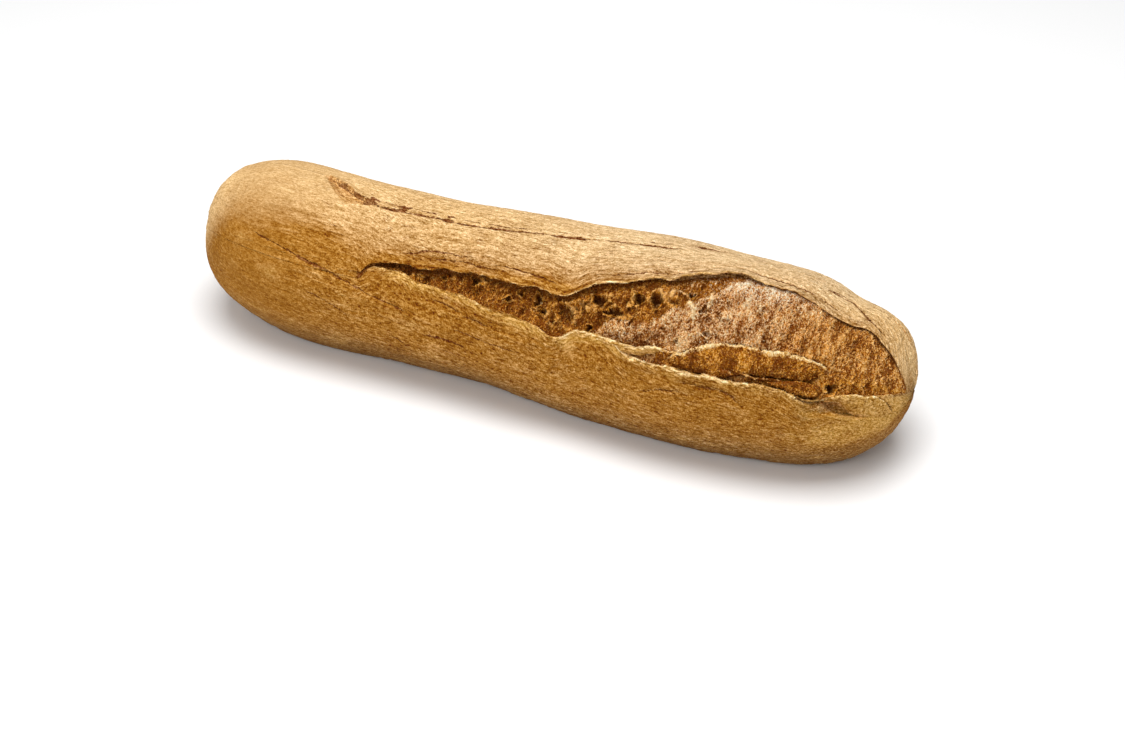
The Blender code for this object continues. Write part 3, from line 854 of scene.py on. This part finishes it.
class Nodes:
    """Short calls for building a shader or geometry tree."""

    def __init__(self, tree):
        self.tree = tree

    def add(self, kind, inputs=(), out=0, **settings):
        node = self.tree.nodes.new(kind)
        for name, value in settings.items():
            setattr(node, name, value)
        for name, value in dict(inputs).items():
            self.feed(node.inputs[name], value)
        return Wire(self, node.outputs[out])

    def feed(self, socket, value):
        """Joins a wire or a socket to a socket, or sets a plain value."""
        value = getattr(value, "socket", value)
        if isinstance(value, bpy.types.NodeSocket):
            self.tree.links.new(value, socket)
        else:
            socket.default_value = value

    def math(self, operation, a, b=0.0):
        return self.add("ShaderNodeMath", {0: a, 1: b}, operation=operation)

    def vector_math(self, operation, a, b):
        return self.add("ShaderNodeVectorMath", {0: a, 1: b}, operation=operation)

    def scaled(self, vector, factors):
        return self.vector_math("MULTIPLY", vector, factors)

    def shifted(self, vector, by):
        return self.vector_math("ADD", vector, by)

    def ease(self, value, low, high, to_low=0, to_high=1):
        inputs = {"Value": value, "From Min": low, "From Max": high, "To Min": to_low, "To Max": to_high}
        return self.add("ShaderNodeMapRange", inputs, interpolation_type="SMOOTHSTEP")

    def noise(self, vector, scale, detail=2, rough=0.5, out="Fac"):
        inputs = {"Vector": vector, "Scale": scale, "Detail": detail, "Roughness": rough}
        return self.add("ShaderNodeTexNoise", inputs, out=out)

    def uneven(self, vector, scale, detail=2, rough=0.5):
        """Noise about zero, of about a tenth each way."""
        return self.noise(vector, scale, detail, rough) - 0.5

    def strands(self, vector, scale, thin, detail=1.5, rough=0.5):
        """1 on a net of winding threads, 0 off them."""
        off_thread = self.math("ABSOLUTE", self.uneven(vector, scale, detail, rough))
        return self.ease(off_thread, 0, thin, 1, 0)

    def mix(self, factor, a, b):
        node = self.tree.nodes.new("ShaderNodeMix")
        node.data_type = "RGBA"
        for name, value in (("Factor_Float", factor), ("A_Color", a), ("B_Color", b)):
            self.feed(next(s for s in node.inputs if s.identifier == name), value)
        return Wire(self, next(s for s in node.outputs if s.identifier == "Result_Color"))

    def dusted(self, colour, dust, steps):
        """A colour with dust added by these steps in red, green and blue, even ones as the eye sees them."""
        seen = self.add("ShaderNodeGamma", {"Color": colour, "Gamma": 1 / EYE_GAMMA})
        seen = self.shifted(seen, self.scaled(dust, steps))
        seen = self.vector_math("MAXIMUM", seen, DARKEST)
        seen = self.vector_math("MINIMUM", seen, (1, 1, 1))
        return self.add("ShaderNodeGamma", {"Color": seen, "Gamma": EYE_GAMMA})

    def number(self, name, kind="FLOAT"):
        """A number that the mesh carries for each point."""
        if self.tree.type == "SHADER":
            out = "Fac" if kind == "FLOAT" else "Vector"
            return self.add("ShaderNodeAttribute", out=out, attribute_name=name)
        return self.add("GeometryNodeInputNamedAttribute", {"Name": name}, data_type=kind)

    def place(self, name):
        """A vector that the mesh carries for each point."""
        return self.number(name, "FLOAT_VECTOR")


def geometry_tree(name, sizes):
    """A new geometry tree with a geometry socket and a named number for each size, with its default."""
    tree = bpy.data.node_groups.new(name, "GeometryNodeTree")
    for way in ("INPUT", "OUTPUT"):
        tree.interface.new_socket("Geometry", in_out=way, socket_type="NodeSocketGeometry")
    for size, default in sizes.items():
        kind = "NodeSocketInt" if isinstance(default, int) else "NodeSocketFloat"
        tree.interface.new_socket(size, in_out="INPUT", socket_type=kind).default_value = default
    nodes = Nodes(tree)
    entry = tree.nodes.new("NodeGroupInput").outputs
    return nodes, {size: Wire(nodes, entry[size]) for size in ("Geometry", *sizes)}


def end_tree(n, geometry, name, value, material):
    """Keeps value under name on the points, and ends the tree in Realize Instances and Set Material."""
    kept = {"Geometry": geometry, "Name": name, "Value": value}
    geometry = n.add("GeometryNodeStoreNamedAttribute", kept, data_type="FLOAT", domain="POINT")
    geometry = n.add("GeometryNodeRealizeInstances", {"Geometry": geometry})
    geometry = n.add("GeometryNodeSetMaterial", {"Geometry": geometry, "Material": material})
    n.feed(n.tree.nodes.new("NodeGroupOutput").inputs[0], geometry)
    return n.tree


def raised(n, geometry, height):
    """The geometry with its points moved out of the surface by height."""
    normal = n.add("GeometryNodeInputNormal")
    offset = n.add("ShaderNodeVectorMath", {0: normal, "Scale": height}, operation="SCALE")
    return n.add("GeometryNodeSetPosition", {"Geometry": geometry, "Offset": offset})


def grow(piece, tree, sizes=()):
    """Runs a geometry tree on a piece, leaves its result as a plain mesh, and takes the modifier off."""
    modifier = piece.modifiers.new(tree.name, "NODES")
    modifier.node_group = tree
    for item in tree.interface.items_tree:
        if item.name in sizes:
            modifier[item.identifier] = sizes[item.name]
    graph = bpy.context.evaluated_depsgraph_get()
    evaluated = piece.evaluated_get(graph)
    grown = bpy.data.meshes.new_from_object(evaluated, preserve_all_data_layers=True, depsgraph=graph)
    piece.modifiers.remove(modifier)
    old = piece.data
    piece.data = grown
    bpy.data.meshes.remove(old)
    grown.name = piece.name
    return piece


def scattered(name, source, tree):
    """A new piece that a geometry tree grows on a copy of source."""
    piece = bpy.data.objects.new(name, source.data.copy())
    bpy.context.scene.collection.objects.link(piece)
    return grow(piece, tree)


CRUST_SIZES = {
    "Wrinkle Height": 0.42 * MM,
    "Wrinkle Pitch": 2.7 * MM,
    "Swell Height": 0.5 * MM,
    "Grain Height": 0.2 * MM,
}
CRUMB_SIZES = {
    "Strand Pitch": 2.1 * MM,
    "Strand Height": 0.7 * MM,
    "Pit Depth": 1.2 * MM,
    "Lump Height": 3.0 * MM,
    "Fuzz Height": 0.4 * MM,
}
SHEET_SIZES = {"Strand Height": 0.5 * MM, "Pit Depth": 0.6 * MM, "Lump Height": 1.6 * MM}


def crust_relief_tree(material):
    """Fine folds that follow the flow, low swells, and grain."""
    n, size = geometry_tree("crust relief", CRUST_SIZES)
    where = n.add("GeometryNodeInputPosition")
    loose = n.number("loose") * n.ease(n.number("torn"), 0.7, 0.1)
    bend = n.scaled(n.noise(where, 60, 1, out="Color"), (0.004, 0.004, 0.004))
    stretched = n.scaled(n.shifted(n.place("flow"), bend), (0.16, 1, 1))
    scale = n.math("DIVIDE", 1, size["Wrinkle Pitch"])
    patch = n.ease(n.noise(where, 28, 1), 0.4, 0.62, 0.15, 0.9) + n.number("lip") * 0.8
    fold = n.strands(stretched, scale, 0.07, 2, 0.6) * patch
    height = fold * (size["Wrinkle Height"] * -1)
    height = height + n.uneven(stretched, scale * 0.5) * 2.6 * size["Wrinkle Height"]
    height = height + n.uneven(n.scaled(where, (0.45, 1, 1)), 70) * 2 * size["Swell Height"]
    height = height + n.uneven(where, 600, 2, 0.6) * 2 * size["Grain Height"]
    return end_tree(n, raised(n, size["Geometry"], height * loose), "fold", fold, material)


def crumb_relief_tree(material):
    """Torn strands, pits between them, lumps and fuzz."""
    n, size = geometry_tree("torn crumb relief", CRUMB_SIZES)
    fibre = n.place("fibre")
    scale = n.math("DIVIDE", 1, size["Strand Pitch"])
    bent = n.shifted(fibre, n.scaled(n.noise(fibre, 420, 2, out="Color"), (0.002, 0.002, 0.002)))
    other = n.shifted(bent, (0.11, 0.07, 0.03))
    strand = n.strands(bent, scale, 0.05)
    thread = n.strands(other, scale * 2, 0.06)
    room = n.ease(n.noise(fibre, 150, 1), 0.42, 0.6)
    pit = n.ease(n.noise(other, scale * 0.8, 1), 0.55, 0.64) * room
    lump = n.uneven(fibre, 170, 3, 0.6) * 2
    fuzz = n.uneven(fibre, 1500, 2, 0.7) * 2
    height = (strand * 0.9 + thread * 0.5 - 0.5) * size["Strand Height"] - pit * size["Pit Depth"]
    height = height + lump * size["Lump Height"] + fuzz * size["Fuzz Height"]
    # The relief value also colours the crumb: paler on raised strands and lumps, darker in pits, a painted
    # highlight and painted shade.
    relief = strand * 0.32 + thread * 0.2 + fuzz * 0.8 + lump * 0.6 + 0.3 - pit * 0.35
    grown = raised(n, size["Geometry"], height * n.number("inside"))
    return end_tree(n, grown, "relief", relief, material)


def spike_tree(name, material, mask, lowest, sizes):
    """A tree that grows small pointed shreds on a surface, where its number called mask is above lowest."""
    n, size = geometry_tree(name, sizes)
    scatter = n.tree.nodes.new("GeometryNodeDistributePointsOnFaces")
    n.feed(scatter.inputs["Mesh"], size["Geometry"])
    n.feed(scatter.inputs["Density"], size["Spikes per Square Metre"])
    n.feed(scatter.inputs["Seed"], size["Seed"])
    n.feed(scatter.inputs["Selection"], n.math("GREATER_THAN", n.number(mask), lowest))
    cone = {"Vertices": 3, "Radius Top": 0, "Radius Bottom": 1, "Depth": 1}
    wide, long = size["Spike Width"], size["Spike Length"]
    shape = n.add("ShaderNodeCombineXYZ", {"X": wide, "Y": wide, "Z": long})
    spike = n.add("GeometryNodeMeshCone", cone)
    spike = n.add("GeometryNodeTransform", {"Geometry": spike, "Scale": shape})
    lean = {0: (-1.1, -1.1, 0), 1: (1.1, 1.1, 6.28)}
    turn = n.tree.nodes.new("FunctionNodeRotateRotation")
    turn.rotation_space = "LOCAL"
    n.feed(turn.inputs[0], scatter.outputs["Rotation"])
    n.feed(turn.inputs[1], n.add("FunctionNodeRandomValue", lean, data_type="FLOAT_VECTOR"))
    grown = n.add("FunctionNodeRandomValue", {2: 0.4, 3: 1.1}, out=1, data_type="FLOAT")
    points, rotation = scatter.outputs["Points"], turn.outputs[0]
    inputs = {"Points": points, "Instance": spike, "Rotation": rotation, "Scale": grown}
    geometry = n.add("GeometryNodeInstanceOnPoints", inputs)
    geometry = n.add("GeometryNodeRealizeInstances", {"Geometry": geometry})
    # The shreds take the painted relief shading of the crumb under them, a step paler.
    return end_tree(n, geometry, "relief", n.number("relief") + 0.3, material)


# ---------------- materials
EYE_GAMMA = 2.2
DARKEST = (0.02, 0.02, 0.02)
# Colours of the crust, from its baked ground to the inner side of its torn edges
OCHRES = ((0.300, 0.119, 0.010, 1), (0.355, 0.150, 0.018, 1))
# painted shade on downward-facing crust, partly a browner baked underside
UNDERSIDE_SHADE = (0.235, 0.108, 0.021, 1)
GOLD = (0.55, 0.290, 0.062, 1)
FLOURS = ((0.745, 0.485, 0.220, 1), (0.745, 0.520, 0.275, 1))
FOLD_BROWN = (0.36, 0.15, 0.020, 1)
EDGE_TAN = (0.62, 0.355, 0.100, 1)
EDGE_CREAM = (0.84, 0.590, 0.285, 1)
CRACK_RIM = (0.40, 0.17, 0.025, 1)
HAIR_BROWN = (0.30, 0.105, 0.012, 1)
CRACK_BROWN = (0.17, 0.048, 0.006, 1)
INNER_BROWNS = ((0.24, 0.080, 0.010, 1), (0.50, 0.240, 0.060, 1))
INNER_TAN = (0.68, 0.390, 0.135, 1)
INNER_TOP = (0.62, 0.365, 0.145, 1)
CRUST_DUST = (1.0, 1.0, 1.0)
# Colours of the crumb, each in the golden hollow and on the pink bulge, from dark to pale
DEEP_BROWN = (0.20, 0.055, 0.004, 1)
BROWNS = ((0.45, 0.154, 0.009, 1), (0.51, 0.195, 0.035, 1))
TANS = ((0.66, 0.280, 0.028, 1), (0.80, 0.415, 0.150, 1))
PALES = ((0.88, 0.470, 0.125, 1), (0.97, 0.680, 0.370, 1))
CRUMB_FLOUR_AND_HIGHLIGHT = (1.0, 0.81, 0.56, 1)
# painted shade inside the pores
PORE_SHADE_BROWN = (0.11, 0.030, 0.003, 1)
SHADE_BROWN = (0.16, 0.045, 0.004, 1)
RIM_TAN = (0.80, 0.46, 0.150, 1)
RIM_CREAM = (0.98, 0.70, 0.35, 1)
CRUMB_DUST = (0.9, 1.05, 1.5)


def new_material(name, roughness, specular):
    material = bpy.data.materials.new(name)
    material.use_nodes = True
    surface = material.node_tree.nodes["Principled BSDF"]
    surface.inputs["Roughness"].default_value = roughness
    surface.inputs["Specular IOR Level"].default_value = specular
    return material, Nodes(material.node_tree), surface


def finish_surface(n, surface, colour, height, depth):
    """Joins the colour and a bump of this depth to the surface."""
    n.feed(surface.inputs["Base Color"], colour)
    bumped = n.add("ShaderNodeBump", {"Height": height, "Strength": 1, "Distance": depth})
    n.feed(surface.inputs["Normal"], bumped)


def crust_material():
    """Flour over baked ochre, with wrinkles, cracks and pale torn edges."""
    material, n, surface = new_material("floury_crust", 0.85, 0.1)
    where = n.add("ShaderNodeTexCoord", out="Object")
    along = n.add("ShaderNodeSeparateXYZ", {"Vector": where}, out=0)
    flow = n.place("flow")
    lip, up, tint, width = (n.number(name) for name in ("lip", "up", "tint", "crack_width"))
    browner = n.math("MINIMUM", tint, 0)
    patches = n.noise(where, 22, 3, 0.6)
    streaks = n.uneven(n.scaled(flow, (0.16, 1, 1)), 500, 2, 0.6)
    dashes = n.uneven(n.scaled(flow, (0.42, 1, 1)), 1150, 1)
    grain = n.uneven(where, 1700, 1)
    mottle = n.uneven(n.scaled(where, (0.5, 1, 1)), 110, 3, 0.6)

    calm = n.ease(along, -0.135, -0.07, 0.55, 1)
    flour = n.ease(up, 0.3, 1.1) * 0.86
    patchy = (patches - 0.5) * 0.5 + mottle * 0.8 + streaks * calm * 0.7
    flour = flour + patchy * (flour * 0.55 + 0.3) + browner * 0.42
    ochre = n.mix(n.ease(patches, 0.35, 0.65), *OCHRES)
    # painted shade: downward-facing crust darker, partly a browner baked underside
    ochre = n.mix(n.ease(n.number("under"), 0.15, 0.7), ochre, UNDERSIDE_SHADE)
    ochre = n.mix(n.ease(tint + mottle * 2, 0.1, 0.9), ochre, GOLD)
    cream = n.ease(along, -0.05, 0.07) * n.ease(along, 0.165, 0.125)
    colour = n.mix(n.math("MAXIMUM", flour, 0), ochre, n.mix(cream, *FLOURS))
    colour = n.mix(n.ease(n.number("fold"), 0.35, 1.3) * 0.3, colour, FOLD_BROWN)
    # pale torn edges: partly paler dough, partly a painted highlight
    rim = n.number("pale") * (1 + dashes * 2.5 + streaks * 2 + mottle * 2)
    colour = n.mix(n.ease(rim, 0.05, 0.6), colour, EDGE_TAN)
    colour = n.mix(n.ease(rim, 0.5, 1.05), colour, EDGE_CREAM)

    hair = n.strands(n.scaled(flow, (0.15, 1, 1)), 480, 0.03, 2, 0.6)
    hair = hair * n.ease(n.noise(where, 150, 1) + lip * 0.1, 0.5, 0.62)
    hair = hair * n.ease(n.noise(where, 30, 1) + lip * 0.14, 0.45, 0.6)
    hair = hair * n.ease(along, -0.14, -0.09, 0.2, 1)
    jitter = n.uneven(where, 500, 3, 0.6) * 2.8
    broken = n.ease(n.noise(where, 130, 3, 0.6), 0.36, 0.6, 0.2, 1.5)
    off_crack = width * broken - n.math("ABSOLUTE", n.number("crack") + jitter)
    real = n.ease(width, 0, 0.1)
    crack = n.ease(off_crack, -0.2, 0.12) * real
    colour = n.mix(n.ease(off_crack, -1.3, 0) * real * 0.3, colour, CRACK_RIM)
    colour = n.mix(hair * 0.75, colour, HAIR_BROWN)
    colour = n.mix(crack * 0.95, colour, CRACK_BROWN)

    rough = n.uneven(where, 420, 2, 0.7) + grain * 0.7
    inner = n.mix(n.ease(rough, -0.16, 0), *INNER_BROWNS)
    inner = n.mix(n.ease(rough, 0, 0.16), inner, INNER_TAN)
    # lighter where the torn face looks up: partly flour, partly painted light from above
    inner = n.mix(n.ease(up, 0.6, 0.95) * 0.2, inner, INNER_TOP)
    torn = n.number("torn") * (1 + rough * 2.5)
    colour = n.mix(n.ease(torn, 0.15, 0.5) * (1 - crack * 0.8), colour, inner)
    wrinkled = streaks * (1 - browner * 2.5)
    dust = dashes * 0.6 + grain * 0.55 + wrinkled * 0.25
    height = dashes * 0.3 + grain * 0.12 + streaks * 0.35 + wrinkled * 0.2
    height = height * calm - (crack * 0.3 + hair * 0.1)
    finish_surface(n, surface, n.dusted(colour, dust * calm, CRUST_DUST), height, 1.6 * MM)
    return material


def crumb_material():
    """Torn crumb, golden in the hollow and pink on the bulge."""
    material, n, surface = new_material("torn_crumb", 0.9, 0.05)
    where = n.add("ShaderNodeTexCoord", out="Object")
    fibre = n.place("fibre")
    pink, white, fluffy = (n.number(name) for name in ("pink", "white", "fluffy"))
    speckle = n.uneven(where, 1400, 2, 0.7)
    grain = n.uneven(where, 1800, 1)
    tufts = n.uneven(n.scaled(n.shifted(fibre, (0.2, 0.2, 0)), (1, 0.6, 1)), 260, 2, 0.6)
    threads = n.strands(n.shifted(fibre, (0.3, 0.1, 0)), 700, 0.045, 2, 0.6)
    fine = n.strands(n.shifted(fibre, (0.1, 0.3, 0)), 1200, 0.05, 2, 0.6)
    fine_share = pink * 0.25 + 0.75
    specks = speckle * 1.15 + threads * 0.8 + fine * 0.45
    # The level follows the painted relief shading: pale on strands, lumps and walls, dark in pits.
    level = n.number("relief") + specks * fine_share
    level = level + tufts * (fluffy * 0.8 + 1.2) + white * 0.25 - 0.6
    # painted highlight: the thin walls made paler
    level = level + fluffy * 0.2 + n.number("painted_wall_highlight") * 1.1
    # whitish top of the bulge: partly flour, partly a painted highlight
    pale = n.mix(n.ease(white, 0.1, 0.8), n.mix(pink, *PALES), CRUMB_FLOUR_AND_HIGHLIGHT)
    colour = n.mix(n.ease(level, 0, 0.25), DEEP_BROWN, n.mix(pink, *BROWNS))
    colour = n.mix(n.ease(level, 0.25, 0.5), colour, n.mix(pink, *TANS))
    colour = n.mix(n.ease(level, 0.5, 0.85), colour, pale)
    # painted shade: the deeper pores darkened inside
    colour = n.mix(n.number("pore_shade") * 0.8, colour, PORE_SHADE_BROWN)
    # painted shade: SHADE_BROWN under the ear and under the torn sheets
    colour = n.mix(n.number("painted_shade") * 0.85, colour, SHADE_BROWN)
    # pale sheet rims: partly paler dough, partly a painted highlight
    rim = n.number("pale") * (1 + speckle * 4 + tufts * 4)
    colour = n.mix(n.ease(rim, 0.2, 0.6), colour, RIM_TAN)
    colour = n.mix(n.ease(rim, 0.55, 1.1), colour, RIM_CREAM)
    dust = (speckle * 0.3 + grain * 0.6) * fine_share
    height = speckle * 0.6 + grain * 0.15 + threads * 0.15
    finish_surface(n, surface, n.dusted(colour, dust, CRUMB_DUST), height, 1.4 * MM)
    return material


# ---------------- stage
FLOOR_HALF = 3.0
FLOOR_DROP = 0.2 * MM
FLOOR_WHITE = (0.93, 0.93, 0.93, 1)
# Soft lights: place, size and watts, all aimed at the same point
LIGHTS = {
    "key": ((0.05, -0.08, 1.25), (0.9, 0.9), 15.5),
    "fill": ((-0.15, -1.15, 0.85), (1.0, 0.7), 6.5),
}
LIGHTS_AIM = (0, 0, 0.03)
SKY_STRENGTH = 0.33
CAMERA_PLACE = (0.30852, -0.65595, 0.50257)
CAMERA_AIM = (0.01595, -0.01029, 0.00762)
CAMERA_LENS = 60
CAMERA_SENSOR = 36


def make_floor():
    corners = np.array([(-1, -1, 0), (1, -1, 0), (1, 1, 0), (-1, 1, 0)]) * FLOOR_HALF
    floor = new_piece("floor", corners - (0, 0, FLOOR_DROP), [(0, 1, 2, 3)])
    material, _, surface = new_material("pale_floor", 0.9, 0.25)
    surface.inputs["Base Color"].default_value = FLOOR_WHITE
    floor.data.materials.append(material)


def aimed(name, data, place, target):
    """A camera or lamp at a place, turned to a target."""
    view = bpy.data.objects.new(name, data)
    bpy.context.scene.collection.objects.link(view)
    view.location = place
    view.rotation_euler = (Vector(target) - Vector(place)).to_track_quat("-Z", "Y").to_euler()
    return view


def make_lights():
    for name, (place, size, watts) in LIGHTS.items():
        light = bpy.data.lights.new(name, "AREA")
        light.shape = "RECTANGLE"
        light.size, light.size_y = size
        light.energy = watts
        aimed(name, light, place, LIGHTS_AIM)
    world = bpy.data.worlds.new("studio")
    bpy.context.scene.world = world
    world.use_nodes = True
    sky = world.node_tree.nodes["Background"]
    sky.inputs["Color"].default_value = (1, 1, 1, 1)
    sky.inputs["Strength"].default_value = SKY_STRENGTH


def make_camera():
    camera = bpy.data.cameras.new("camera")
    camera.lens = CAMERA_LENS
    camera.sensor_width = CAMERA_SENSOR
    bpy.context.scene.camera = aimed("camera", camera, CAMERA_PLACE, CAMERA_AIM)
    bpy.context.scene.view_settings.view_transform = "Standard"


# ---------------- the loaf
CRUMB_SHREDS = {
    "Spikes per Square Metre": 0.7e6, "Spike Length": 1.4 * MM, "Spike Width": 0.2 * MM, "Seed": 5,
}
LIP_SHREDS = {
    "Spikes per Square Metre": 3.0e6, "Spike Length": 0.9 * MM, "Spike Width": 0.24 * MM, "Seed": 7,
}

make_camera()
make_lights()
make_floor()

crust_skin = crust_material()
crumb_skin = crumb_material()
crust_relief = crust_relief_tree(crust_skin)
crumb_relief = crumb_relief_tree(crumb_skin)

crust = grow(make_crust(), crust_relief)
pieces = [crust] + [grow(make_sheet(name), crust_relief) for name in CRUST_SHEETS]
hollow = grow(make_crumb("crumb_hollow", -73, 38.2, 480, 80), crumb_relief)
bulge = grow(make_crumb("crumb_bulge", 38, 173.6, 560, 165), crumb_relief)
pieces += [hollow, bulge]
for name in SHEETS:
    if name not in CRUST_SHEETS:
        pieces.append(grow(make_sheet(name), crumb_relief, SHEET_SIZES))
crumb_spikes = spike_tree("crumb shreds", crumb_skin, "inside", 0.5, CRUMB_SHREDS)
lip_spikes = spike_tree("lip shreds", crust_skin, "pale", 0.35, LIP_SHREDS)
pieces.append(scattered("bulge_shreds", bulge, crumb_spikes))
pieces.append(scattered("hollow_shreds", hollow, crumb_spikes))
pieces.append(scattered("lip_shreds", crust, lip_spikes))

for piece in pieces:
    piece.data.shade_smooth()
    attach(piece, "root")
    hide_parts(LOAF_NODE)
